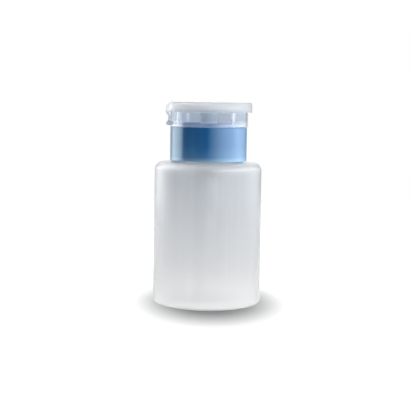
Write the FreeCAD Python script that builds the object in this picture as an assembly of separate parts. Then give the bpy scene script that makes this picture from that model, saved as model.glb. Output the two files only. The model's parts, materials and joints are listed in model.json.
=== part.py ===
import FreeCAD, Part
import math
import os

from FreeCAD import Vector

# Press-down dispenser: a frosted bottle with a screw collar, a clear flip lid and a dish on a spring pump.
# Millimetres. The origin is the middle of the foot, +Z is up, and the lid's hinge is on the -X side.

# Bottle
foot_radius = 30.25
body_radius = 29.9
bottle_wall = 1.2
shoulder_height = 78.9
shoulder_round = 4.2
foot_round = 2.2
foot_ring_width = 4.0
base_push_up = 2.0
base_slope_width = 5.0
neck_radius = 18.4
neck_wall = 2.2
neck_height = 15.3
neck_lip_round = 0.5

# Screw thread of the neck and the collar
thread_pitch = 4.0
thread_depth = 1.0
thread_root_width = 1.8
thread_crest_width = 0.9
thread_clearance = 0.3
neck_thread_rise = 2.6
neck_thread_turns = 1.75
collar_thread_start = 0.5
collar_thread_turns = 1.5
rib_root = 0.3

# Screw collar
collar_gap = 0.5
collar_wall = 1.7
collar_bottom_round = 0.8
collar_top_round = 0.4
deck_thickness = 2.0
deck_hole_clearance = 0.4
boss_height = 2.2
boss_wall = 1.2
boss_round = 0.3

# Clear ring on the collar
ring_overhang = 0.45
ring_wall = 1.25
ring_edge_round = 0.3
ring_rib_width = 1.2
ring_rib_depth = 0.6
ring_rib_clearance = 0.2
ring_rib_top_gap = 2.0
ring_rib_count = 4
ring_rib_angle = -52.0

# Lid hinge
hinge_rise = 1.9
hinge_offset = 0.55
barrel_radius = 1.0
barrel_clearance = 0.2
trunnion_radius = 0.6
trunnion_clearance = 0.06
strap_width = 9.0
strap_thickness = 0.9
strap_gap = 0.4
ear_gap = 0.25
ear_width = 2.0
ear_radius = 1.2

# Flip lid
lid_gap = 1.0
lid_wall = 1.2
lid_height = 5.3
lid_top_thickness = 1.2
lid_edge_round = 0.5
lid_headroom = 0.8
lid_seat_height = 2.2
lid_seat_width = 0.7
lid_seat_inset = 0.15
lid_seat_gap = 0.1
lid_plug_radius = 2.5
lid_plug_gap = 0.2
lid_bevel_run = 2.8
lid_bevel_drop = 2.6
lid_nib_length = 3.0
lid_nib_width = 1.0
lid_nib_height = 0.8

# Press dish with its post
press_stroke = 5.0
travel_clearance = 0.6
dish_clearance = 0.4
dish_floor = 1.2
dish_depth = 2.5
dish_fall = 0.8
dish_rim = 1.2
dish_rim_round = 0.4
post_radius = 4.8
post_bore_radius = 3.0
post_engagement = 1.0

# Outlet nozzle and delivery valve
insert_radius = 4.4
insert_seat_depth = 0.6
insert_head = 0.8
insert_plug = 1.6
outlet_hole_radius = 0.45
outlet_hole_circle = 1.6
outlet_hole_count = 5
outlet_ball_radius = 2.2
outlet_ball_lift = 1.2
ball_gap = 0.03
lift_gap = 0.1

# Stem, piston and guide
stem_bore_radius = 1.4
stem_seat_lip = 1.0
stem_tip = 1.0
piston_length = 6.9
piston_lip = 1.2
piston_lip_slope = 0.6
piston_waist_depth = 0.9
piston_clearance = 0.05
piston_stop_gap = 0.1
guide_clearance = 0.08
guide_depth = 6.4
guide_head_radius = 8.2
guide_head = 1.0
guide_rim_wall = 1.5
guide_inset = 0.8
press_clearance = 0.03

# Pump cylinder, suction valve and dip tube
bore_radius = 6.2
bore_depth = 41.4
cylinder_wall = 1.3
flange_inset = 0.8
flange_thickness = 1.2
flange_clearance = 0.1
gasket_thickness = 1.0
vent_radius = 0.5
inlet_ball_radius = 2.25
inlet_ball_lift = 1.2
inlet_ball_side_gap = 0.85
inlet_bore_radius = 1.5
inlet_throat = 1.5
cage_thickness = 2.5
cage_ring_width = 2.2
cage_bar_width = 1.4
cage_bar_count = 4
tube_radius = 3.0
tube_wall = 0.8
tube_socket_depth = 12.0
tube_socket_wall = 1.25
tube_bend_radius = 170.0
tube_end_gap = 1.6
tube_cut_angle = 30.0

# Return spring
spring_wire = 0.9
spring_radius = 4.4
spring_turns = 9
spring_arcs_per_turn = 4
spring_gap_samples = 24

# Heights of the stack, from the foot up
neck_top = shoulder_height + neck_height
flange_bottom = neck_top + gasket_thickness
flange_top = flange_bottom + flange_thickness
deck_bottom = flange_top + flange_clearance
collar_bottom = shoulder_height + collar_gap
collar_top = deck_bottom + deck_thickness
boss_top = collar_top + boss_height
dish_bottom = boss_top + press_stroke + travel_clearance
dish_floor_top = dish_bottom + dish_floor
dish_top = dish_floor_top + dish_depth
lid_inner_top = dish_top + lid_headroom
lid_top = lid_inner_top + lid_top_thickness
lid_bottom = lid_top - lid_height
ring_top = lid_inner_top - lid_seat_height - lid_seat_gap
hinge_height = collar_top + hinge_rise

# Radii of the collar, the ring, the lid and the dish, from the neck out
neck_bore_radius = neck_radius - neck_wall
thread_radius = neck_radius + thread_depth
collar_bore_radius = thread_radius + thread_clearance
collar_radius = collar_bore_radius + collar_wall
ring_radius = collar_radius + ring_overhang
ring_bore_radius = ring_radius - ring_wall
boss_radius = ring_bore_radius - press_clearance
dish_radius = ring_bore_radius - ring_rib_depth - dish_clearance
lid_bore_radius = ring_radius + lid_gap
lid_radius = lid_bore_radius + lid_wall
hinge_reach = ring_radius + hinge_offset
flange_radius = neck_radius - flange_inset

# Heights inside the pump, from the nozzle down
insert_seat = dish_floor_top - insert_seat_depth
insert_top = insert_seat + insert_head
insert_bottom = insert_seat - insert_plug
outlet_ball_height = insert_bottom - lift_gap - outlet_ball_lift - outlet_ball_radius
outlet_apex = outlet_ball_height - ball_gap - outlet_ball_radius * math.sqrt(2)
stem_radius = post_bore_radius - press_clearance
stem_top = outlet_apex + stem_bore_radius + stem_seat_lip
guide_top = boss_top - guide_inset
guide_bottom = flange_top - guide_depth
guide_bore_radius = post_radius + guide_clearance
post_bottom = guide_bottom + post_engagement
piston_top = guide_bottom - piston_stop_gap
piston_bottom = piston_top - piston_length
stem_bottom = piston_bottom - stem_tip
bore_bottom = flange_top - bore_depth
cage_top = bore_bottom + cage_thickness
inlet_ball_height = bore_bottom - lift_gap - inlet_ball_lift - inlet_ball_radius
inlet_apex = inlet_ball_height - ball_gap - inlet_ball_radius * math.sqrt(2)
inlet_chamber_radius = inlet_ball_radius + inlet_ball_side_gap
inlet_chamber_bottom = inlet_apex + inlet_chamber_radius
inlet_seat_bottom = inlet_apex + inlet_bore_radius
tube_socket_top = inlet_seat_bottom - inlet_throat
cylinder_bottom = tube_socket_top - tube_socket_depth
cylinder_radius = bore_radius + cylinder_wall
spigot_radius = tube_radius + tube_socket_wall
bottle_floor = base_push_up + bottle_wall

UP = Vector(0, 0, 1)
SIDE = Vector(0, 1, 0)
OUT = Vector(1, 0, 0)


def corner_arc(before, here, after, rounding):
    """The start, middle and end of the tangent arc that rounds a corner."""
    back = (before - here).normalize()
    ahead = (after - here).normalize()
    half = back.getAngle(ahead) / 2
    setback = rounding / math.tan(half)
    bisector = (back + ahead).normalize()
    middle = here + bisector * (rounding / math.sin(half) - rounding)
    return here + back * setback, middle, here + ahead * setback


def outline(corners):
    """A closed wire in the XZ plane through (x, z) or (x, z, rounding) corners."""
    points = [Vector(corner[0], 0, corner[1]) for corner in corners]
    edges = []
    joints = []
    for index, corner in enumerate(corners):
        here = points[index]
        after = points[(index + 1) % len(points)]
        if len(corner) == 3:
            start, middle, end = corner_arc(points[index - 1], here, after, corner[2])
            edges.append(Part.Arc(start, middle, end).toShape())
            joints.append((start, end))
        else:
            joints.append((here, here))
    for index, (start, end) in enumerate(joints):
        next_start = joints[(index + 1) % len(joints)][0]
        if end.distanceToPoint(next_start) > Part.Precision.confusion():
            edges.append(Part.LineSegment(end, next_start).toShape())
    return Part.Wire(Part.__sortEdges__(edges))


def turned(corners):
    """A solid of revolution about Z from its half section."""
    return Part.Face(outline(corners)).revolve(Vector(), UP, 360)


def tube(inner, outer, bottom, top):
    return turned([(inner, bottom), (outer, bottom), (outer, top), (inner, top)])


def rod(radius, bottom, top):
    return Part.makeCylinder(radius, top - bottom, Vector(0, 0, bottom), UP)


def cross_rod(radius, x, z, half_length):
    """A cylinder along Y, centred on Y = 0."""
    return Part.makeCylinder(radius, 2 * half_length, Vector(x, -half_length, z), SIDE)


def block(x_from, x_to, y_from, y_to, z_from, z_to):
    return Part.makeBox(x_to - x_from, y_to - y_from, z_to - z_from, Vector(x_from, y_from, z_from))


def slab(corners, half_width):
    """An outline in the XZ plane, drawn out along Y to both sides."""
    face = Part.Face(outline(corners))
    face.translate(SIDE * -half_width)
    return face.extrude(SIDE * (2 * half_width))


def around(shape, count, first_angle):
    """Copies of a shape at even steps about Z."""
    copies = []
    for index in range(count):
        copy = shape.copy()
        copy.rotate(Vector(), UP, first_angle + index * 360 / count)
        copies.append(copy)
    return copies


def thread_rib(root, crest, height, turns, start_angle):
    """A right-hand thread rib of trapezoid section, from its root radius to its crest radius."""
    half_root = thread_root_width / 2
    half_crest = thread_crest_width / 2
    corners = [(root, -half_root), (crest, -half_crest), (crest, half_crest), (root, half_root)]
    helix = Part.makeHelix(thread_pitch, thread_pitch * turns, neck_radius)
    rib = Part.Wire(helix.Edges).makePipeShell([outline(corners)], True, True)
    rib.rotate(Vector(), UP, start_angle)
    rib.translate(UP * height)
    return rib


def bottle():
    dome_edge = foot_radius - foot_round - foot_ring_width
    dome_flat = dome_edge - base_slope_width
    inner_bottom = shoulder_height - bottle_wall
    body = turned([
        (0, base_push_up),
        (dome_flat, base_push_up),
        (dome_edge, 0),
        (foot_radius, 0, foot_round),
        (body_radius, shoulder_height, shoulder_round),
        (neck_radius, shoulder_height),
        (neck_radius, neck_top, neck_lip_round),
        (neck_bore_radius, neck_top, neck_lip_round),
        (neck_bore_radius, inner_bottom),
        (body_radius - bottle_wall, inner_bottom, shoulder_round - bottle_wall),
        (foot_radius - bottle_wall, bottle_wall, foot_round - bottle_wall),
        (dome_edge, bottle_wall),
        (dome_flat, bottle_floor),
        (0, bottle_floor),
    ])
    root = neck_radius - rib_root
    rib = thread_rib(root, thread_radius, shoulder_height + neck_thread_rise, neck_thread_turns, 0)
    return body.fuse(rib)


def screw_collar():
    boss_bore = boss_radius - boss_wall
    deck_hole = guide_head_radius + deck_hole_clearance
    shell = turned([
        (collar_bore_radius, collar_bottom),
        (collar_radius, collar_bottom, collar_bottom_round),
        (collar_radius, collar_top, collar_top_round),
        (boss_radius, collar_top),
        (boss_radius, boss_top, boss_round),
        (boss_bore, boss_top, boss_round),
        (boss_bore, collar_top),
        (deck_hole, collar_top),
        (deck_hole, deck_bottom),
        (collar_bore_radius, deck_bottom),
    ])
    groove = shoulder_height + neck_thread_rise - thread_pitch / 2
    height = groove + thread_pitch * collar_thread_start
    root = collar_bore_radius + rib_root
    crest = neck_radius + thread_clearance
    rib = thread_rib(root, crest, height, collar_thread_turns, collar_thread_start * 360)
    return shell.fuse(rib)


def hinge_ears():
    """Two lugs on the ring's back, with the holes for the lid's trunnions."""
    inside = strap_width / 2 + ear_gap
    outside = inside + ear_width
    wall_reach = math.sqrt(ring_radius**2 - outside**2) - ring_wall / 3
    ears = []
    for side in (inside, -outside):
        lug = Part.makeCylinder(ear_radius, ear_width, Vector(-hinge_reach, side, hinge_height), SIDE)
        web = block(-hinge_reach, -wall_reach, side, side + ear_width,
                    hinge_height - ear_radius, hinge_height + ear_radius)
        ears.append(lug.fuse(web))
    return ears


def cap_ring():
    ring = turned([
        (ring_bore_radius, collar_top),
        (ring_radius, collar_top, ring_edge_round),
        (ring_radius, ring_top, ring_edge_round),
        (ring_bore_radius, ring_top),
    ])
    flat = hinge_reach - barrel_radius - barrel_clearance
    half_notch = strap_width / 2 + ear_gap
    notch = block(-2 * ring_radius, -flat, -half_notch, half_notch,
                  collar_top - ring_wall, ring_top + ring_wall)
    rib = block(ring_bore_radius - ring_rib_depth, ring_bore_radius + ring_wall / 2,
                -ring_rib_width / 2, ring_rib_width / 2,
                boss_top + ring_rib_clearance, ring_top - ring_rib_top_gap)
    ring = ring.cut(notch).fuse(around(rib, ring_rib_count, ring_rib_angle))
    holes = cross_rod(trunnion_radius + trunnion_clearance, -hinge_reach, hinge_height, ring_radius)
    return ring.fuse(hinge_ears()).cut(holes).removeSplitter()


def bevelled_drum(radius, bottom, top, edge_round, inset):
    """A drum whose back edge is bevelled by a plane, set in from the lid's outer bevel by inset."""
    drum = turned([(0, bottom), (radius, bottom), (radius, top, edge_round), (0, top)])
    slope = math.hypot(lid_bevel_run, lid_bevel_drop)
    shift = inset * slope / lid_bevel_drop
    high = -lid_radius + lid_bevel_run + shift
    low = -lid_radius + shift
    over = lid_height
    wedge = slab([
        (high + over * lid_bevel_run / lid_bevel_drop, lid_top + over),
        (low - over * lid_bevel_run / lid_bevel_drop, lid_top - lid_bevel_drop - over),
        (low - lid_radius, lid_top - lid_bevel_drop - over),
        (low - lid_radius, lid_top + over),
    ], 2 * lid_radius)
    return drum.cut(wedge)


def hinge_strap():
    """The lid's strap, its barrel and the trunnions at both ends of the barrel."""
    half = strap_width / 2
    flat = hinge_reach - barrel_radius - barrel_clearance
    waist_inner = -flat - strap_gap
    waist_outer = waist_inner - strap_thickness
    waist_height = (hinge_height + barrel_radius + lid_bottom) / 2
    root_inner = -lid_bore_radius
    root_outer = -lid_radius
    root_top = lid_bottom + lid_wall
    strap = slab([
        (-hinge_reach - barrel_radius / 2, hinge_height),
        (waist_outer, waist_height),
        (root_outer, lid_bottom),
        (root_outer + lid_edge_round, root_top),
        (root_inner, root_top),
        (waist_inner, waist_height),
        (-hinge_reach + barrel_radius / 2, hinge_height),
    ], half)
    barrel = cross_rod(barrel_radius, -hinge_reach, hinge_height, half)
    trunnions = cross_rod(trunnion_radius, -hinge_reach, hinge_height, half + ear_gap + ear_width)
    return strap.fuse([barrel, trunnions])


def flip_lid():
    shell = bevelled_drum(lid_radius, lid_bottom, lid_top, lid_edge_round, 0)
    hollow = bevelled_drum(lid_bore_radius, lid_bottom - lid_wall, lid_inner_top,
                           lid_edge_round, lid_wall)
    seat_radius = ring_radius - lid_seat_inset
    seat = tube(seat_radius - lid_seat_width, seat_radius, ring_top + lid_seat_gap, lid_inner_top)
    plug = rod(lid_plug_radius, insert_top + lid_plug_gap, lid_inner_top + lid_top_thickness / 2)
    nib_from = -lid_radius + lid_bevel_run
    nib = block(nib_from, nib_from + lid_nib_width, -lid_nib_length / 2, lid_nib_length / 2,
                lid_top - lid_top_thickness / 2, lid_top + lid_nib_height)
    seat_in_shell = seat.common(shell)
    return shell.cut(hollow).fuse([seat_in_shell, plug, nib, hinge_strap()]).removeSplitter()


def press_dish():
    floor_edge = dish_radius - dish_rim
    return turned([
        (post_bore_radius, post_bottom),
        (post_radius, post_bottom),
        (post_radius, dish_bottom),
        (dish_radius, dish_bottom),
        (dish_radius, dish_top, dish_rim_round),
        (floor_edge, dish_top, dish_rim_round),
        (floor_edge, dish_floor_top + dish_fall),
        (insert_radius, dish_floor_top),
        (insert_radius, insert_seat),
        (post_bore_radius, insert_seat),
    ])


def outlet_insert():
    plug_radius = post_bore_radius - press_clearance
    head_radius = insert_radius - press_clearance
    nozzle = turned([
        (0, insert_bottom),
        (plug_radius, insert_bottom),
        (plug_radius, insert_seat),
        (head_radius, insert_seat),
        (head_radius, insert_top),
        (0, insert_top),
    ])
    hole = rod(outlet_hole_radius, insert_bottom - insert_head, insert_top + insert_head)
    hole.translate(OUT * outlet_hole_circle)
    return nozzle.cut(around(hole, outlet_hole_count, 0))


def stem():
    seat_bottom = outlet_apex + stem_bore_radius
    return turned([
        (stem_bore_radius, stem_bottom),
        (stem_radius, stem_bottom),
        (stem_radius, stem_top),
        (stem_bore_radius + stem_seat_lip, stem_top),
        (stem_bore_radius, seat_bottom),
    ])


def piston():
    inner = stem_radius + press_clearance
    lip = bore_radius - piston_clearance
    waist = lip - piston_waist_depth
    return turned([
        (inner, piston_bottom),
        (lip, piston_bottom),
        (lip, piston_bottom + piston_lip),
        (waist, piston_bottom + piston_lip + piston_lip_slope),
        (waist, piston_top - piston_lip - piston_lip_slope),
        (lip, piston_top - piston_lip),
        (lip, piston_top),
        (inner, piston_top),
    ])


def stem_guide():
    rim_radius = guide_bore_radius + guide_rim_wall
    sleeve_radius = bore_radius - press_clearance
    head_top = flange_top + guide_head
    return turned([
        (guide_bore_radius, guide_bottom),
        (sleeve_radius, guide_bottom),
        (sleeve_radius, flange_top),
        (guide_head_radius, flange_top),
        (guide_head_radius, head_top),
        (rim_radius, head_top),
        (rim_radius, guide_top),
        (guide_bore_radius, guide_top),
    ])


def pump_cylinder():
    shell = turned([
        (tube_radius + press_clearance, cylinder_bottom),
        (spigot_radius, cylinder_bottom),
        (spigot_radius, bore_bottom - cylinder_radius + spigot_radius),
        (cylinder_radius, bore_bottom),
        (cylinder_radius, flange_bottom),
        (flange_radius, flange_bottom),
        (flange_radius, flange_top),
        (bore_radius, flange_top),
        (bore_radius, bore_bottom),
        (inlet_chamber_radius, bore_bottom),
        (inlet_chamber_radius, inlet_chamber_bottom),
        (inlet_bore_radius, inlet_seat_bottom),
        (inlet_bore_radius, tube_socket_top),
        (tube_radius + press_clearance, tube_socket_top),
    ])
    vent_height = (piston_top + piston_bottom) / 2
    vent = Part.makeCylinder(vent_radius, 2 * cylinder_radius, Vector(0, 0, vent_height), OUT)
    return shell.cut(vent)


def ball_cage():
    outer = bore_radius - press_clearance
    rim = tube(outer - cage_ring_width, outer, bore_bottom, cage_top)
    bar = block(0, outer - cage_ring_width / 2, -cage_bar_width / 2, cage_bar_width / 2,
                bore_bottom, cage_top)
    return rim.fuse(around(bar, cage_bar_count, 0)).removeSplitter()


def valve_ball(radius, height):
    return Part.makeSphere(radius, Vector(0, 0, height))


def neck_gasket():
    return tube(neck_bore_radius, flange_radius, neck_top, flange_bottom)


def tube_path():
    """Down the socket, then a slow bend towards the hinge side."""
    bend_start = cylinder_bottom
    drop = bend_start - bottle_floor - tube_end_gap
    turn = math.asin(drop / tube_bend_radius)
    points = []
    for angle in (0, turn / 2, turn):
        inward = tube_bend_radius * (math.cos(angle) - 1)
        points.append(Vector(inward, 0, bend_start - tube_bend_radius * math.sin(angle)))
    straight = Part.LineSegment(Vector(0, 0, tube_socket_top), points[0]).toShape()
    return Part.Wire([straight, Part.Arc(*points).toShape()]), points[2]


def dip_tube():
    path, end = tube_path()
    start = Vector(0, 0, tube_socket_top)
    runs = []
    for radius in (tube_radius, tube_radius - tube_wall):
        circle = Part.Wire(Part.makeCircle(radius, start, UP))
        runs.append(path.makePipeShell([circle], True, False))
    slant = block(-4 * tube_radius, 4 * tube_radius, -2 * tube_radius, 2 * tube_radius,
                  -4 * tube_radius, 0)
    slant.rotate(Vector(), SIDE, tube_cut_angle)
    slant.translate(end + UP * tube_radius * math.tan(math.radians(tube_cut_angle)))
    return runs[0].cut(runs[1]).cut(slant)


def spring_point(turn):
    """A point of the spring's centre line and its direction there, after a number of turns."""
    low = cage_top + spring_wire / 2
    high = piston_bottom - spring_wire / 2
    angle = 2 * math.pi * turn
    rise = (high - low) / spring_turns
    aside = Vector(math.cos(angle), math.sin(angle), 0)
    point = aside * spring_radius + UP * (low + rise * turn)
    heading = Vector(-math.sin(angle), math.cos(angle), rise / (2 * math.pi * spring_radius))
    return point, heading.normalize()


def arc_from(start, heading, end):
    """The arc from a point, leaving along heading, to another point."""
    chord = end - start
    along = chord * (1 / chord.Length)
    bulge = heading - along * heading.dot(along)
    sagitta = chord.Length / 2 * math.tan(heading.getAngle(along) / 2)
    middle = (start + end) * 0.5 + bulge.normalize() * sagitta
    return Part.Arc(start, middle, end).toShape()


def biarc(start, heading, end, end_heading):
    """Two arcs that join two points and run along the given headings there."""
    chord = end - start
    spread = 2 * (1 - heading.dot(end_heading))
    along = chord.dot(heading + end_heading)
    reach = (math.sqrt(along**2 + spread * chord.dot(chord)) - along) / spread
    middle = (start + end + (heading - end_heading) * reach) * 0.5
    second = arc_from(end, end_heading * -1, middle)
    return [arc_from(start, heading, middle), second]


def spring_gap():
    """The least gap between the spring's turns, measured between points of its centre line."""
    count = spring_turns * spring_gap_samples
    points = [spring_point(index / spring_gap_samples)[0] for index in range(count + 1)]
    apart = spring_gap_samples // 2
    gaps = []
    for index, point in enumerate(points):
        gaps.extend(point.distanceToPoint(other) for other in points[index + apart:])
    return min(gaps) - spring_wire


def return_spring():
    edges = []
    for index in range(spring_turns * spring_arcs_per_turn):
        start, heading = spring_point(index / spring_arcs_per_turn)
        end, end_heading = spring_point((index + 1) / spring_arcs_per_turn)
        edges.extend(biarc(start, heading, end, end_heading))
    start, heading = spring_point(0)
    section = Part.Wire(Part.makeCircle(spring_wire / 2, start, heading))
    return Part.Wire(edges).makePipeShell([section], True, False)


def main():
    pieces = {
        "bottle": bottle(),
        "neck_gasket": neck_gasket(),
        "pump_cylinder": pump_cylinder(),
        "stem_guide": stem_guide(),
        "ball_cage": ball_cage(),
        "dip_tube": dip_tube(),
        "return_spring": return_spring(),
        "inlet_ball": valve_ball(inlet_ball_radius, inlet_ball_height),
        "outlet_ball": valve_ball(outlet_ball_radius, outlet_ball_height),
        "press_dish": press_dish(),
        "outlet_insert": outlet_insert(),
        "stem": stem(),
        "piston": piston(),
        "screw_collar": screw_collar(),
        "cap_ring": cap_ring(),
        "flip_lid": flip_lid(),
    }
    os.makedirs("parts", exist_ok=True)
    for name, shape in pieces.items():
        shape.exportStep("parts/" + name + ".step")
        print(name, len(shape.Solids), shape.isValid(), round(shape.Volume, 1))
    print("least gap between the spring's turns", round(spring_gap(), 2))


main()
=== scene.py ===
import json
import math

import bpy
from mathutils import Matrix, Vector


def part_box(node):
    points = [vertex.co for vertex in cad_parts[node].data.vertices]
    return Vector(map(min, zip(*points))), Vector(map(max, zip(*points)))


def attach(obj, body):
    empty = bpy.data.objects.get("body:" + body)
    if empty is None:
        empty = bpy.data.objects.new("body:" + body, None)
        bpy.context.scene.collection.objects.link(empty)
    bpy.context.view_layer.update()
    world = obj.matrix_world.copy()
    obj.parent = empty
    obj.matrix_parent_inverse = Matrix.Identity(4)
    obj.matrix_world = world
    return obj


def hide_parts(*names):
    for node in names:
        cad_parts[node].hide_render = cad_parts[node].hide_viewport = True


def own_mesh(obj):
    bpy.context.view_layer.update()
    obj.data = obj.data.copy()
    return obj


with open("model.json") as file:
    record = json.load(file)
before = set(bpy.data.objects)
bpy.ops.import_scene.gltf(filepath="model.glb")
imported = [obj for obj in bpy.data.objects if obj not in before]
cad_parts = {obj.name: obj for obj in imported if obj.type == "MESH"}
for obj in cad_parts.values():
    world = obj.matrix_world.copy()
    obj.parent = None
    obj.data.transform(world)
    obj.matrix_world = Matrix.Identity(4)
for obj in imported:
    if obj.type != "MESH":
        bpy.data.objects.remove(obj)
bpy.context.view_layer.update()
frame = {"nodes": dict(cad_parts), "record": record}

# Sizes in metres, in the frame's own axes: +Z up, the lid's hinge on the -X side.
MM = 0.001

BODY_RADIUS = 29.9 * MM
FOOT_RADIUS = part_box("bottle")[1][0]
WALL = 1.2 * MM
SHOULDER_HEIGHT = 78.9 * MM
SHOULDER_ROUND = 4.2 * MM
FOOT_ROUND = 2.2 * MM
FOOT_RING_WIDTH = 4.0 * MM
FOOT_RING_ROUND = 0.8 * MM
PUSH_UP = 2.0 * MM
PUSH_UP_SLOPE = 5.0 * MM
PUSH_UP_ROUND = 1.2 * MM
NECK_RADIUS = 18.4 * MM
NECK_BORE = 16.2 * MM
NECK_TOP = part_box("bottle")[1][2]
NECK_FOOT_ROUND = 0.3 * MM
NECK_LIP_ROUND = 0.5 * MM
NECK_BORE_ROUND = 0.6 * MM
BODY_COLUMNS = 224

# The columns across a seam and the room kept for them are shares of its half width.
SEAM_TURN = math.radians(-66.0)
SEAM_HALF_WIDTH = 0.35 * MM
SEAM_HEIGHT = 0.09 * MM
SEAM_COLUMNS = (-1.5, -1.0, -0.6, -0.25, 0.25, 0.6, 1.0, 1.5)
SEAM_ROOM = 2.0

# The pinch line swells and fades: (share of its length, share of its full section).
PINCH_LENGTH = 34.0 * MM
PINCH_WIDTH = 0.9 * MM
PINCH_HEIGHT = 0.35 * MM
PINCH_TOP_SHARE = 0.6
PINCH_SWELL = ((0.0, 0.15), (0.02, 0.6), (0.06, 1.0), (0.5, 1.0), (0.94, 1.0), (0.98, 0.6), (1.0, 0.15))

THREAD_PITCH = 4.0 * MM
THREAD_RISE = 2.6 * MM
THREAD_TURNS = 1.75
THREAD_DEPTH = 1.0 * MM
THREAD_ROOT = 1.8 * MM
THREAD_CREST = 0.9 * MM
THREAD_STEPS_A_TURN = 96
THREAD_END_SHARE = 0.08
THREAD_RUN_OUT_STEPS = 10

# How far the thread and the pinch line reach into the wall that carries them.
RIB_SINK = 0.1 * MM

SPRING_WIRE = 0.9 * MM
SPRING_RADIUS = 4.4 * MM
SPRING_TURNS = 9
SPRING_STEPS_A_TURN = 40
SPRING_WIRE_SIDES = 12

ROUND_STEPS = 10
SHARP_EDGE = math.radians(35.0)

COLLAR_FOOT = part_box("screw_collar")[0][2]
RING_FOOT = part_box("cap_ring")[0][2]
RING_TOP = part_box("cap_ring")[1][2]
RING_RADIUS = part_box("cap_ring")[1][0]
RING_RIB_TURN = math.radians(-52.0)

# Heights at which a finish starts to change and has changed.
# The frosted wall's paler lower part and foot are painted light from the floor, and its paler shoulder is
# painted light from above.
WALL_PAINTED_FLOOR_LIGHT = (SHOULDER_HEIGHT - 8.9 * MM, 0.0)
FOOT_PAINTED_FLOOR_LIGHT = (22.0 * MM, 0.0)
SHOULDER_PAINTED_TOP_LIGHT = (SHOULDER_HEIGHT - 5.9 * MM, SHOULDER_HEIGHT - 0.9 * MM)
# The collar's paler lower part and rim are painted light, thrown up from the bottle's white shoulder.
COLLAR_PAINTED_BOUNCE = (COLLAR_FOOT + 9.1 * MM, COLLAR_FOOT + 0.1 * MM)
COLLAR_RIM_PAINTED_BOUNCE = (COLLAR_FOOT + 2.8 * MM, COLLAR_FOOT)
# The ring's foot and ribs get real coat gloss and a paler tone that paints a highlight.
RING_FOOT_GLOSS_AND_HIGHLIGHT = (RING_FOOT + 3.5 * MM, RING_FOOT + 1.0 * MM)
RIBS_GLOSS_AND_HIGHLIGHT = (RING_TOP - 1.7 * MM, RING_TOP - 2.3 * MM)
LID_MILKY = (RING_TOP - 3.0 * MM, RING_TOP)
LID_DULL = (RING_TOP - 2.5 * MM, RING_TOP - 1.5 * MM)

# The same along X, from the hinge side to the ring, and outwards from the middle of a rib.
HINGE_TO_RING = (-RING_RADIUS - 0.35 * MM, -RING_RADIUS + 0.45 * MM)
RIB_EDGE = (0.4 * MM, 0.7 * MM)

# Grains per metre and their depth in millimetres, and streaks per metre across and along.
USUAL_GRAIN = (2500.0, 0.004)
USUAL_STREAKS = (300.0, 8.0)

# The middle part of a noise, which is spread over its whole range.
NOISE_SPREAD = (0.3, 0.7)


# Mesh makers

def rounded_section(corners):
    """Points through (radius, height) corners; a third number rounds the corner by that radius."""
    points = []
    for index, corner in enumerate(corners):
        here = Vector(corner[:2])
        if len(corner) == 2:
            points.append(here)
            continue
        back = (Vector(corners[index - 1][:2]) - here).normalized()
        ahead = (Vector(corners[(index + 1) % len(corners)][:2]) - here).normalized()
        half = back.angle(ahead) / 2
        centre = here + (back + ahead).normalized() * (corner[2] / math.sin(half))
        start = here + back * (corner[2] / math.tan(half)) - centre
        sweep = start.angle_signed(here + ahead * (corner[2] / math.tan(half)) - centre)
        for step in range(ROUND_STEPS + 1):
            points.append(centre + Matrix.Rotation(-sweep * step / ROUND_STEPS, 2) @ start)
    return points


def link_piece(name, vertices, faces, finish):
    """A new smooth-shaded piece with one finish; its sharp edges stay crisp."""
    mesh = bpy.data.meshes.new(name)
    mesh.from_pydata(vertices, [], faces)
    mesh.validate()
    mesh.shade_smooth()
    mesh.set_sharp_from_angle(angle=SHARP_EDGE)
    mesh.materials.append(finish)
    piece = bpy.data.objects.new(name, mesh)
    bpy.context.collection.objects.link(piece)
    return piece


def turned(section, turns):
    """Vertices and faces of a section turned about Z; both of its ends lie on the axis."""
    vertices = [Vector((0, 0, section[0].y))]
    for point in section[1:-1]:
        for turn in turns:
            vertices.append(Vector((point.x * math.cos(turn), point.x * math.sin(turn), point.y)))
    vertices.append(Vector((0, 0, section[-1].y)))
    count = len(turns)
    rows = len(section) - 2
    faces = []
    for column in range(count):
        after = (column + 1) % count
        faces.append((0, 1 + after, 1 + column))
        for row in range(rows - 1):
            low = 1 + row * count
            high = low + count
            faces.append((low + column, low + after, high + after, high + column))
        last = 1 + (rows - 1) * count
        faces.append((last + column, last + after, len(vertices) - 1))
    return vertices, faces


def swept(path, section_at):
    """Vertices and faces of a section carried along a path of (origin, across, up), closed at both ends."""
    vertices = []
    faces = []
    size = 0
    for index, (origin, across, up) in enumerate(path):
        section = section_at(index)
        size = len(section)
        vertices.extend(origin + across * aside + up * above for aside, above in section)
    for index in range(len(path) - 1):
        low = index * size
        for corner in range(size):
            after = (corner + 1) % size
            faces.append((low + corner, low + after, low + size + after, low + size + corner))
    faces.append(tuple(reversed(range(size))))
    faces.append(tuple(range(len(vertices) - size, len(vertices))))
    return vertices, faces


def merged(*shapes):
    """Vertices and faces of several shapes as one mesh."""
    vertices = []
    faces = []
    for more_vertices, more_faces in shapes:
        start = len(vertices)
        vertices.extend(more_vertices)
        faces.extend(tuple(start + corner for corner in face) for face in more_faces)
    return vertices, faces


# Shader helpers

def put(tree, kind, **settings):
    """A node with its own settings and plain input values, named as on the node with _ for a space."""
    made = tree.nodes.new(kind)
    for name, value in settings.items():
        if hasattr(made, name):
            setattr(made, name, value)
        else:
            made.inputs[name.replace("_", " ")].default_value = value
    return made


def wire(tree, source, target):
    """Joins an output to an input."""
    tree.links.new(source, target)


def reckoned(tree, operation, first, second=0.0):
    """A Math node's result; each side is an output or a plain number."""
    made = put(tree, "ShaderNodeMath", operation=operation)
    for socket, given in zip(made.inputs, (first, second)):
        if isinstance(given, (int, float)):
            socket.default_value = given
        else:
            wire(tree, given, socket)
    return made.outputs[0]


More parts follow.
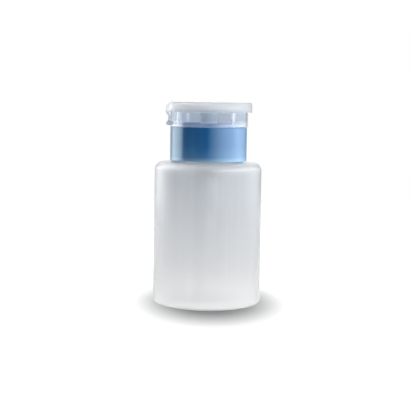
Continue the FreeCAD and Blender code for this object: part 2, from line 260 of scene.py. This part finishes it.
def ramp(tree, value, low, high, to_low, to_high, soft=True):
    """A value taken from one range to another and held at its ends; a soft ramp eases in and out."""
    made = put(tree, "ShaderNodeMapRange", From_Min=low, From_Max=high, To_Min=to_low, To_Max=to_high)
    made.interpolation_type = "SMOOTHSTEP" if soft else "LINEAR"
    wire(tree, value, made.inputs["Value"])
    return made.outputs["Result"]


def new_group(name, inputs, output):
    """An empty node group with number inputs and one number output, and its two end nodes."""
    tree = bpy.data.node_groups.new(name, "ShaderNodeTree")
    for label, default in inputs:
        socket = tree.interface.new_socket(label, in_out="INPUT", socket_type="NodeSocketFloat")
        socket.default_value = default
    tree.interface.new_socket(output, in_out="OUTPUT", socket_type="NodeSocketFloat")
    return tree, tree.nodes.new("NodeGroupInput"), tree.nodes.new("NodeGroupOutput")


def moulded_grain():
    """Fine even grain that the mould leaves on a plastic face."""
    tree, given, out = new_group("moulded grain", [("Grains per metre", 2000.0)], "Height")
    place = put(tree, "ShaderNodeTexCoord")
    noise = put(tree, "ShaderNodeTexNoise", Detail=3.0, Roughness=0.6)
    wire(tree, place.outputs["Object"], noise.inputs["Vector"])
    wire(tree, given.outputs["Grains per metre"], noise.inputs["Scale"])
    wire(tree, noise.outputs["Fac"], out.inputs["Height"])
    return tree


def drawn_streaks():
    """Upright streaks, as drawing and blowing leave in a thin wall."""
    tree, given, out = new_group(
        "drawn streaks", [("Across per metre", 300.0), ("Along per metre", 8.0)], "Streak")
    place = put(tree, "ShaderNodeTexCoord")
    scale = put(tree, "ShaderNodeCombineXYZ")
    stretch = put(tree, "ShaderNodeVectorMath", operation="MULTIPLY")
    noise = put(tree, "ShaderNodeTexNoise", Scale=1.0, Detail=3.0, Roughness=0.55)
    for axis, rate in (("X", "Across per metre"), ("Y", "Across per metre"), ("Z", "Along per metre")):
        wire(tree, given.outputs[rate], scale.inputs[axis])
    wire(tree, place.outputs["Object"], stretch.inputs[0])
    wire(tree, scale.outputs[0], stretch.inputs[1])
    wire(tree, stretch.outputs[0], noise.inputs["Vector"])
    wire(tree, ramp(tree, noise.outputs["Fac"], *NOISE_SPREAD, 0.0, 1.0), out.inputs["Streak"])
    return tree


def handling_haze():
    """Cloudy patches where handling has dulled the gloss, as a roughness between Clean and Dull."""
    tree, given, out = new_group(
        "handling haze", [("Patches per metre", 60.0), ("Clean", 0.2), ("Dull", 0.4)], "Roughness")
    place = put(tree, "ShaderNodeTexCoord")
    noise = put(tree, "ShaderNodeTexNoise", Detail=4.0, Roughness=0.6)
    spread = put(tree, "ShaderNodeMapRange", From_Min=NOISE_SPREAD[0], From_Max=NOISE_SPREAD[1])
    wire(tree, place.outputs["Object"], noise.inputs["Vector"])
    wire(tree, given.outputs["Patches per metre"], noise.inputs["Scale"])
    wire(tree, noise.outputs["Fac"], spread.inputs["Value"])
    wire(tree, given.outputs["Clean"], spread.inputs["To Min"])
    wire(tree, given.outputs["Dull"], spread.inputs["To Max"])
    wire(tree, spread.outputs["Result"], out.inputs["Roughness"])
    return tree


def height_fade():
    """A mask by height: 0 at Start, 1 at End."""
    tree, given, out = new_group("height fade", [("Start", 0.0), ("End", 0.1)], "Mask")
    place = put(tree, "ShaderNodeTexCoord")
    split = put(tree, "ShaderNodeSeparateXYZ")
    fade = put(tree, "ShaderNodeMapRange")
    wire(tree, place.outputs["Object"], split.inputs[0])
    wire(tree, split.outputs["Z"], fade.inputs["Value"])
    wire(tree, given.outputs["Start"], fade.inputs["From Min"])
    wire(tree, given.outputs["End"], fade.inputs["From Max"])
    wire(tree, fade.outputs["Result"], out.inputs["Mask"])
    return tree


GRAIN = moulded_grain()
STREAKS = drawn_streaks()
HAZE = handling_haze()
HEIGHT_FADE = height_fade()


class Finish:
    """One finish: a shader whose tone, gloss and grain come from the shared groups.

    Gloss is the roughness where clean and where dulled, and the constants are the shader's own values.
    """

    def __init__(self, name, dark, light, gloss, grain=USUAL_GRAIN, streaks=USUAL_STREAKS, **constants):
        self.material = bpy.data.materials.new(name)
        self.material.use_nodes = True
        self.tree = self.material.node_tree
        self.shader = self.tree.nodes["Principled BSDF"]
        for label, value in constants.items():
            self.shader.inputs[label.replace("_", " ")].default_value = value
        streak = self.group(STREAKS, **{"Across per metre": streaks[0], "Along per metre": streaks[1]})
        self.tone = self.mix(streak.outputs["Streak"], dark, light)
        wire(self.tree, self.tone, self.shader.inputs["Base Color"])
        self.haze = self.group(HAZE, Clean=gloss[0], Dull=gloss[1]).outputs["Roughness"]
        wire(self.tree, self.haze, self.shader.inputs["Roughness"])
        fine = self.group(GRAIN, **{"Grains per metre": grain[0]})
        bump = put(self.tree, "ShaderNodeBump", Strength=1.0, Distance=grain[1] * MM)
        wire(self.tree, fine.outputs["Height"], bump.inputs["Height"])
        wire(self.tree, bump.outputs["Normal"], self.shader.inputs["Normal"])

    def group(self, tree, **values):
        """One of the shared groups, placed with this finish's own values."""
        made = put(self.tree, "ShaderNodeGroup", node_tree=tree)
        for label, value in values.items():
            made.inputs[label].default_value = value
        return made

    def mix(self, factor, first, second):
        """A colour between two; each is an output or a plain colour."""
        made = put(self.tree, "ShaderNodeMix", data_type="RGBA")
        wire(self.tree, factor, made.inputs["Factor"])
        for label, given in (("A", first), ("B", second)):
            if isinstance(given, tuple):
                made.inputs[label].default_value = (*given, 1.0)
            else:
                wire(self.tree, given, made.inputs[label])
        return made.outputs["Result"]

    def by_height(self, start, end):
        """0 at the start height and 1 at the end height."""
        return self.group(HEIGHT_FADE, Start=start, End=end).outputs["Mask"]

    def retone(self, factor, other):
        """Takes the tone towards another one by a factor."""
        self.tone = self.mix(factor, self.tone, other)
        wire(self.tree, self.tone, self.shader.inputs["Base Color"])

    def dull(self, factor, gloss):
        """Takes the gloss towards a duller one by a factor."""
        duller = self.group(HAZE, Clean=gloss[0], Dull=gloss[1])
        made = put(self.tree, "ShaderNodeMix", data_type="FLOAT")
        wire(self.tree, factor, made.inputs["Factor"])
        wire(self.tree, self.haze, made.inputs["A"])
        wire(self.tree, duller.outputs["Roughness"], made.inputs["B"])
        self.haze = made.outputs["Result"]
        wire(self.tree, self.haze, self.shader.inputs["Roughness"])

    def let_lamps_through(self, tint):
        """Lamps reach what is seen through the wall, tinted by each face; the floor keeps its shadow."""
        path = put(self.tree, "ShaderNodeLightPath")
        clear = put(self.tree, "ShaderNodeBsdfTransparent", Color=(*tint, 1.0))
        either = put(self.tree, "ShaderNodeMixShader")
        inside = reckoned(
            self.tree, "MINIMUM", path.outputs["Transmission Depth"], path.outputs["Is Shadow Ray"])
        wire(self.tree, inside, either.inputs[0])
        wire(self.tree, self.shader.outputs[0], either.inputs[1])
        wire(self.tree, clear.outputs[0], either.inputs[2])
        wire(self.tree, either.outputs[0], self.tree.nodes["Material Output"].inputs["Surface"])


def frosted_plastic():
    """The bottle's milky wall, with painted light: paler towards the foot as if lit from the floor, and on
    the shoulder as if lit from above.
    """
    finish = Finish(
        "frosted plastic", dark=(0.66, 0.685, 0.72), light=(0.74, 0.76, 0.785), gloss=(0.32, 0.40),
        grain=(3000.0, 0.006), streaks=(220.0, 6.0), Transmission_Weight=0.88, IOR=1.45,
        Coat_Weight=1.0, Coat_IOR=1.3, Coat_Roughness=0.16, Sheen_Weight=0.45, Sheen_Roughness=0.35)
    # Painted light: paler towards the foot as if lit from the floor, and on the shoulder as if lit from
    # above.
    finish.retone(finish.by_height(*WALL_PAINTED_FLOOR_LIGHT), (0.82, 0.82, 0.82))
    finish.retone(finish.by_height(*FOOT_PAINTED_FLOOR_LIGHT), (0.92, 0.92, 0.92))
    finish.retone(finish.by_height(*SHOULDER_PAINTED_TOP_LIGHT), (0.95, 0.96, 0.97))
    finish.let_lamps_through((0.99, 0.99, 0.99))
    return finish.material


def blue_plastic():
    """The glossy collar, paler towards its lower rim, painted as light thrown up from the white shoulder
    below.
    """
    finish = Finish(
        "blue plastic", dark=(0.001, 0.15, 0.47), light=(0.003, 0.185, 0.53), gloss=(0.17, 0.24),
        grain=(1800.0, 0.003), IOR=1.78, Specular_IOR_Level=1.0, Specular_Tint=(0.76, 0.92, 1.0, 1.0),
        Sheen_Weight=1.0, Sheen_Roughness=0.4, Sheen_Tint=(0.55, 0.92, 1.0, 1.0))
    # Painted light from the shoulder below: paler towards the lower rim, palest at the rim.
    finish.retone(finish.by_height(*COLLAR_PAINTED_BOUNCE), (0.085, 0.29, 0.60))
    finish.retone(finish.by_height(*COLLAR_RIM_PAINTED_BOUNCE), (0.36, 0.52, 0.72))
    return finish.material


def clear_of_hinge(tree):
    """A mask: 0 on the hinge, which stands out on the -X side, and 1 on the ring itself."""
    place = put(tree, "ShaderNodeTexCoord")
    split = put(tree, "ShaderNodeSeparateXYZ")
    wire(tree, place.outputs["Object"], split.inputs[0])
    return ramp(tree, split.outputs["X"], *HINGE_TO_RING, 0.0, 1.0, soft=False)


def over_ring_ribs(tree):
    """A mask: 1 over the ring's four ribs, a quarter turn apart, and 0 beside them."""
    place = put(tree, "ShaderNodeTexCoord")
    turned_place = put(tree, "ShaderNodeVectorRotate", rotation_type="Z_AXIS", Angle=-RING_RIB_TURN)
    split = put(tree, "ShaderNodeSeparateXYZ")
    wire(tree, place.outputs["Object"], turned_place.inputs["Vector"])
    wire(tree, turned_place.outputs[0], split.inputs[0])
    across, beside = (reckoned(tree, "ABSOLUTE", split.outputs[axis]) for axis in "XY")
    nearest = reckoned(tree, "MINIMUM", across, beside)
    return ramp(tree, nearest, *RIB_EDGE, 1.0, 0.0, soft=False)


def clear_plastic():
    """The clear ring, glossier at its foot and ribs, which also have a painted highlight in a paler tone, and
    the milky lid above it.
    """
    finish = Finish(
        "clear plastic", dark=(0.60, 0.655, 0.725), light=(0.64, 0.69, 0.755), gloss=(0.10, 0.17),
        grain=(1500.0, 0.003), Transmission_Weight=0.93, IOR=1.30, Coat_IOR=2.0, Coat_Roughness=0.2)
    tree = finish.tree
    ring_foot_gloss_and_highlight = reckoned(tree, "MULTIPLY", finish.by_height(*RING_FOOT_GLOSS_AND_HIGHLIGHT), clear_of_hinge(tree))
    rib_gloss_and_highlight = reckoned(tree, "MULTIPLY", finish.by_height(*RIBS_GLOSS_AND_HIGHLIGHT), over_ring_ribs(tree))
    finish.retone(finish.by_height(*LID_MILKY), (0.835, 0.845, 0.86))
    # A painted highlight: the ring's foot is paler, as if it caught the light; its coat gloss is real.
    finish.retone(ring_foot_gloss_and_highlight, (0.82, 0.82, 0.82))
    # A painted highlight: the ribs are lighter, as if they caught the light; their coat gloss is real.
    finish.retone(rib_gloss_and_highlight, (0.86, 0.90, 0.95))
    finish.dull(finish.by_height(*LID_DULL), (0.32, 0.40))
    wire(tree, reckoned(tree, "MAXIMUM", ring_foot_gloss_and_highlight, rib_gloss_and_highlight), finish.shader.inputs["Coat Weight"])
    finish.let_lamps_through((0.97, 0.975, 0.98))
    return finish.material


def white_plastic():
    """White plastic that lets a little light through."""
    finish = Finish(
        "white plastic", dark=(0.88, 0.885, 0.89), light=(0.93, 0.93, 0.93), gloss=(0.30, 0.40),
        Transmission_Weight=0.3, IOR=1.5)
    finish.let_lamps_through((0.93, 0.93, 0.93))
    return finish.material


def natural_plastic():
    return Finish(
        "natural plastic", dark=(0.94, 0.945, 0.95), light=(0.98, 0.98, 0.98), gloss=(0.30, 0.42),
        Transmission_Weight=0.1, IOR=1.5).material


def soft_plastic():
    return Finish(
        "soft plastic", dark=(0.74, 0.74, 0.72), light=(0.84, 0.84, 0.82), gloss=(0.45, 0.60)).material


def gasket_foam():
    return Finish(
        "gasket foam", dark=(0.76, 0.76, 0.74), light=(0.88, 0.88, 0.86), gloss=(0.80, 0.95),
        grain=(1500.0, 0.08)).material


def spring_steel():
    return Finish(
        "spring steel", dark=(0.52, 0.53, 0.54), light=(0.68, 0.68, 0.69), gloss=(0.16, 0.26),
        streaks=(900.0, 900.0), Metallic=1.0).material


def valve_glass():
    return Finish(
        "valve glass", dark=(0.93, 0.96, 0.95), light=(0.97, 0.98, 0.98), gloss=(0.02, 0.05),
        grain=(900.0, 0.001), Transmission_Weight=1.0, IOR=1.5).material


FINISHES = {maker.__name__: maker() for maker in (
    frosted_plastic, blue_plastic, clear_plastic, white_plastic, natural_plastic, soft_plastic, gasket_foam,
    spring_steel, valve_glass)}


# Pieces

def seamed_turns():
    """Column angles round the bottle, closer together across its two mould seams."""
    half = SEAM_HALF_WIDTH / BODY_RADIUS
    turns = [2 * math.pi * index / BODY_COLUMNS for index in range(BODY_COLUMNS)]
    for seam in (SEAM_TURN, SEAM_TURN + math.pi):
        turns = [turn for turn in turns if abs(math.remainder(turn - seam, 2 * math.pi)) > SEAM_ROOM * half]
        turns.extend(seam + half * share for share in SEAM_COLUMNS)
    return sorted(turn % (2 * math.pi) for turn in turns)


def raise_seams(vertices):
    """Lifts a fine ridge along both mould seams, from above the foot to the shoulder."""
    for vertex in vertices:
        radius = math.hypot(vertex.x, vertex.y)
        if radius < BODY_RADIUS - WALL / 2 or vertex.z < FOOT_ROUND:
            continue
        turn = math.atan2(vertex.y, vertex.x)
        off = min(abs(math.remainder(turn - SEAM_TURN - side, 2 * math.pi)) for side in (0.0, math.pi))
        share = off * BODY_RADIUS / SEAM_HALF_WIDTH
        if share < 1.0:
            grown = 1 + SEAM_HEIGHT * (1 - share**2) / radius
            vertex.x *= grown
            vertex.y *= grown


def bottle_body():
    """The blown bottle, turned from its outer and inner outline, with its mould seams."""
    ring_inner = FOOT_RADIUS - FOOT_ROUND - FOOT_RING_WIDTH
    flat = ring_inner - PUSH_UP_SLOPE
    under = SHOULDER_HEIGHT - WALL
    floor = PUSH_UP + WALL
    section = rounded_section([
        (0, PUSH_UP),
        (flat, PUSH_UP, PUSH_UP_ROUND),
        (ring_inner, 0, FOOT_RING_ROUND),
        (FOOT_RADIUS, 0, FOOT_ROUND),
        (BODY_RADIUS, SHOULDER_HEIGHT, SHOULDER_ROUND),
        (NECK_RADIUS, SHOULDER_HEIGHT, NECK_FOOT_ROUND),
        (NECK_RADIUS, NECK_TOP, NECK_LIP_ROUND),
        (NECK_BORE, NECK_TOP, NECK_LIP_ROUND),
        (NECK_BORE, under, NECK_BORE_ROUND),
        (BODY_RADIUS - WALL, under, SHOULDER_ROUND - WALL),
        (FOOT_RADIUS - WALL, WALL, FOOT_ROUND - WALL),
        (ring_inner, WALL),
        (flat, floor),
        (0, floor),
    ])
    vertices, faces = turned(section, seamed_turns())
    raise_seams(vertices)
    return vertices, faces


def neck_thread():
    """The rib of the screw thread, which runs out to nearly nothing at both ends."""
    steps = int(THREAD_TURNS * THREAD_STEPS_A_TURN)
    path = []
    for step in range(steps + 1):
        turn = 2 * math.pi * THREAD_TURNS * step / steps
        out = Vector((math.cos(turn), math.sin(turn), 0))
        height = SHOULDER_HEIGHT + THREAD_RISE + THREAD_PITCH * turn / (2 * math.pi)
        path.append((out * NECK_RADIUS + Vector((0, 0, height)), out, Vector((0, 0, 1))))

    def rib(index):
        steps_to_end = min(index, steps - index)
        run_out = min(1.0, THREAD_END_SHARE + steps_to_end / THREAD_RUN_OUT_STEPS)
        deep = THREAD_DEPTH * run_out
        root = THREAD_ROOT / 2 * run_out
        crest = THREAD_CREST / 2 * run_out
        return [(-RIB_SINK, -root), (deep, -crest), (deep, crest), (-RIB_SINK, root)]

    return swept(path, rib)


def pinch_line():
    """The welded line across the base, where the mould pinched the tube shut."""
    along = Vector((math.cos(SEAM_TURN), math.sin(SEAM_TURN), 0))
    across = Vector((0, 0, 1)).cross(along)
    path = [(along * PINCH_LENGTH * (share - 0.5) + Vector((0, 0, PUSH_UP)), across, Vector((0, 0, -1)))
            for share, swell in PINCH_SWELL]

    def ridge(index):
        swell = PINCH_SWELL[index][1]
        half = PINCH_WIDTH / 2 * swell
        top = half * PINCH_TOP_SHARE
        deep = PINCH_HEIGHT * swell
        return [(-half, -RIB_SINK), (half, -RIB_SINK), (top, deep), (-top, deep)]

    return swept(path, ridge)


def frosted_bottle():
    """The bottle with its thread and pinch line, as one piece."""
    vertices, faces = merged(bottle_body(), neck_thread(), pinch_line())
    piece = link_piece("frosted_bottle", vertices, faces, FINISHES["frosted_plastic"])
    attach(piece, "bottle")
    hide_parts("bottle")


def pump_spring():
    """An evenly wound spring, which shortens as the dish goes down."""
    low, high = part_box("return_spring")
    bottom = low[2] + SPRING_WIRE / 2
    rise = high[2] - low[2] - SPRING_WIRE
    steps = SPRING_TURNS * SPRING_STEPS_A_TURN
    path = []
    for step in range(steps + 1):
        turn = 2 * math.pi * SPRING_TURNS * step / steps
        out = Vector((math.cos(turn), math.sin(turn), 0))
        height = bottom + rise * step / steps
        path.append((out * SPRING_RADIUS + Vector((0, 0, height)), out, Vector((0, 0, 1))))
    wire_turns = [2 * math.pi * side / SPRING_WIRE_SIDES for side in range(SPRING_WIRE_SIDES)]
    wire_round = [(SPRING_WIRE / 2 * math.cos(turn), SPRING_WIRE / 2 * math.sin(turn)) for turn in wire_turns]
    vertices, faces = swept(path, lambda index: wire_round)
    piece = link_piece("pump_spring", vertices, faces, FINISHES["spring_steel"])
    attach(piece, "pump_unit")
    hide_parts("return_spring")
    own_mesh(piece)


# Every node gets the finish of its slot. The bottle and the spring are then replaced.
for part in frame["record"]["subparts"]:
    kept = frame["nodes"][part["node"]]
    kept.data.materials.clear()
    kept.data.materials.append(FINISHES[part["material_slot"]])

frosted_bottle()
pump_spring()


# Stage

AMBIENT = 0.03
WHITE_BACKDROP = 1.0

# How far a mirrored direction points to the back, where the white starts to show and where it is full.
BEHIND_BOTTLE = (-0.1, 0.5)

SHEET_SIZE = 1.2
FLOOR_SHOWN = 0.32
FLOOR_BOUNCE = 0.2
FLOOR_GLOW = 1.0

# The painted shade round the foot, where the floor's glow is held back: its squeeze by axis, its centre once
# squeezed, and where it fades from and to.
SHADE_OVAL = (1.7, 1.0, 1.0)
SHADE_CENTRE = (0.004, -0.002, 0.0)
SHADE_NEAR = 0.022
SHADE_FAR = 0.090

# The fade is the power that shapes how the light falls off to both ends.
DIFFUSER_COLUMNS = 32
DIFFUSER_FADE = 0.8
COOL_WHITE = (0.94, 0.975, 1.0, 1.0)

# The tilt counts from straight down, so the camera looks 5.55 degrees below level.
CAMERA_PLACE = (-0.00146, -0.560, 0.109)
CAMERA_LENS = 87.8
CAMERA_SENSOR = 36.0
CAMERA_TILT = math.radians(90.0 - 5.55)
CAMERA_ROLL = math.radians(0.85)
LIGHT_BOUNCES = 24


def studio_world():
    """White to the camera and through the plastic; behind the bottle it also shows in the gloss."""
    world = bpy.data.worlds.new("studio")
    bpy.context.scene.world = world
    world.use_nodes = True
    tree = world.node_tree
    path = put(tree, "ShaderNodeLightPath")
    way = put(tree, "ShaderNodeTexCoord")
    split = put(tree, "ShaderNodeSeparateXYZ")
    wire(tree, way.outputs["Generated"], split.inputs[0])
    behind = ramp(tree, split.outputs["Y"], *BEHIND_BOTTLE, 0.0, 1.0)
    gloss = reckoned(tree, "MULTIPLY", path.outputs["Is Glossy Ray"], behind)
    through = reckoned(tree, "MAXIMUM", path.outputs["Is Camera Ray"], path.outputs["Is Transmission Ray"])
    seen = reckoned(tree, "MAXIMUM", through, gloss)
    back = tree.nodes["Background"]
    back.inputs["Color"].default_value = (1.0, 1.0, 1.0, 1.0)
    wire(tree, ramp(tree, seen, 0.0, 1.0, AMBIENT, WHITE_BACKDROP), back.inputs["Strength"])


def studio_floor():
    """White paper that keeps the bottle's shadow, with a painted shade round its foot where its glow fades
    in.
    """
    half = SHEET_SIZE / 2
    corners = [(-half, -half, 0), (half, -half, 0), (half, half, 0), (-half, half, 0)]
    mesh = bpy.data.meshes.new("floor")
    mesh.from_pydata(corners, [], [(0, 1, 2, 3)])
    floor = bpy.data.objects.new("floor", mesh)
    bpy.context.collection.objects.link(floor)
    material = bpy.data.materials.new("floor paper")
    material.use_nodes = True
    tree = material.node_tree
    tree.nodes.remove(tree.nodes["Principled BSDF"])
    path = put(tree, "ShaderNodeLightPath")
    paper = put(tree, "ShaderNodeBsdfDiffuse")
    paper_tone = ramp(tree, path.outputs["Is Camera Ray"], 0.0, 1.0, FLOOR_BOUNCE, FLOOR_SHOWN)
    wire(tree, paper_tone, paper.inputs["Color"])
    place = put(tree, "ShaderNodeTexCoord")
    oval = put(tree, "ShaderNodeVectorMath", operation="MULTIPLY")
    oval.inputs[1].default_value = SHADE_OVAL
    wire(tree, place.outputs["Object"], oval.inputs[0])
    far = put(tree, "ShaderNodeVectorMath", operation="DISTANCE")
    far.inputs[1].default_value = SHADE_CENTRE
    wire(tree, oval.outputs[0], far.inputs[0])
    # The glow is held back near the foot, which paints a soft shade there.
    fade = ramp(tree, far.outputs["Value"], SHADE_NEAR, SHADE_FAR, 0.0, 1.0)
    shown = reckoned(tree, "MULTIPLY", fade, path.outputs["Is Camera Ray"])
    either = reckoned(tree, "MAXIMUM", path.outputs["Is Transmission Ray"], path.outputs["Is Glossy Ray"])
    mirrored = reckoned(tree, "MULTIPLY", either, FLOOR_GLOW)
    glow = put(tree, "ShaderNodeEmission", Color=(1.0, 1.0, 1.0, 1.0))
    wire(tree, reckoned(tree, "MAXIMUM", shown, mirrored), glow.inputs["Strength"])
    both = put(tree, "ShaderNodeAddShader")
    wire(tree, paper.outputs[0], both.inputs[0])
    wire(tree, glow.outputs[0], both.inputs[1])
    wire(tree, both.outputs[0], tree.nodes["Material Output"].inputs["Surface"])
    mesh.materials.append(material)


def softbox(name, position, target, width, height, radiance):
    """A rectangular lamp of an even radiance, turned to the target."""
    lamp = bpy.data.lights.new(name, "AREA")
    lamp.shape = "RECTANGLE"
    lamp.size = width
    lamp.size_y = height
    lamp.energy = radiance * math.pi * width * height
    box = bpy.data.objects.new(name, lamp)
    bpy.context.collection.objects.link(box)
    box.rotation_euler = (Vector(target) - Vector(position)).to_track_quat("-Z", "Y").to_euler()
    box.location = position


def diffuser(name, radius, from_turn, full_turn, to_turn, low, high, radiance):
    """A curved card round the right side, turns in degrees from the front, brightest at full_turn."""
    vertices = []
    glow = []
    for column in range(DIFFUSER_COLUMNS + 1):
        turn = from_turn + (to_turn - from_turn) * column / DIFFUSER_COLUMNS
        rising = (turn - from_turn) / (full_turn - from_turn)
        falling = (to_turn - turn) / (to_turn - full_turn)
        share = min(rising, falling)**DIFFUSER_FADE
        side = radius * math.sin(math.radians(turn))
        depth = -radius * math.cos(math.radians(turn))
        for height in (low, high):
            vertices.append((side, depth, height))
            glow.append(share)
    panes = [(left, left + 1, left + 3, left + 2) for left in range(0, 2 * DIFFUSER_COLUMNS, 2)]
    mesh = bpy.data.meshes.new(name)
    mesh.from_pydata(vertices, [], panes)
    mesh.attributes.new("glow", "FLOAT", "POINT").data.foreach_set("value", glow)
    card = bpy.data.objects.new(name, mesh)
    bpy.context.collection.objects.link(card)
    card.visible_camera = False
    material = bpy.data.materials.new(name)
    material.use_nodes = True
    tree = material.node_tree
    tree.nodes.remove(tree.nodes["Principled BSDF"])
    along = put(tree, "ShaderNodeAttribute", attribute_name="glow")
    light = put(tree, "ShaderNodeEmission", Color=COOL_WHITE)
    strength = ramp(tree, along.outputs["Fac"], 0.0, 1.0, 0.0, radiance, soft=False)
    wire(tree, strength, light.inputs["Strength"])
    wire(tree, light.outputs[0], tree.nodes["Material Output"].inputs["Surface"])
    mesh.materials.append(material)


def camera():
    """A long lens in front of the bottle, level with its lid and looking slightly down."""
    lens = bpy.data.cameras.new("camera")
    lens.sensor_width = CAMERA_SENSOR
    lens.lens = CAMERA_LENS
    eye = bpy.data.objects.new("camera", lens)
    bpy.context.collection.objects.link(eye)
    place = Matrix.Translation(CAMERA_PLACE)
    eye.matrix_world = place @ Matrix.Rotation(CAMERA_TILT, 4, "X") @ Matrix.Rotation(CAMERA_ROLL, 4, "Z")
    bpy.context.scene.camera = eye


studio_world()
studio_floor()
softbox("left softbox", position=(-0.56, 0.22, 0.25), target=(0, 0, 0.07),
        width=0.66, height=0.7, radiance=1.8)
diffuser("right diffuser", radius=0.8, from_turn=-2.0, full_turn=100.0, to_turn=155.0,
         low=0.0, high=0.5, radiance=3.1)
softbox("top softbox", position=(0.0, 0.10, 0.9), target=(0, 0, 0.05),
        width=0.6, height=0.6, radiance=1.2)
softbox("front softbox", position=(0.53, -0.49, 0.42), target=(0, 0, 0.06),
        width=1.5, height=0.6, radiance=1.8)
camera()

scene = bpy.context.scene
scene.view_settings.view_transform = "Standard"
scene.cycles.max_bounces = LIGHT_BOUNCES
scene.cycles.transmission_bounces = LIGHT_BOUNCES
scene.cycles.transparent_max_bounces = LIGHT_BOUNCES
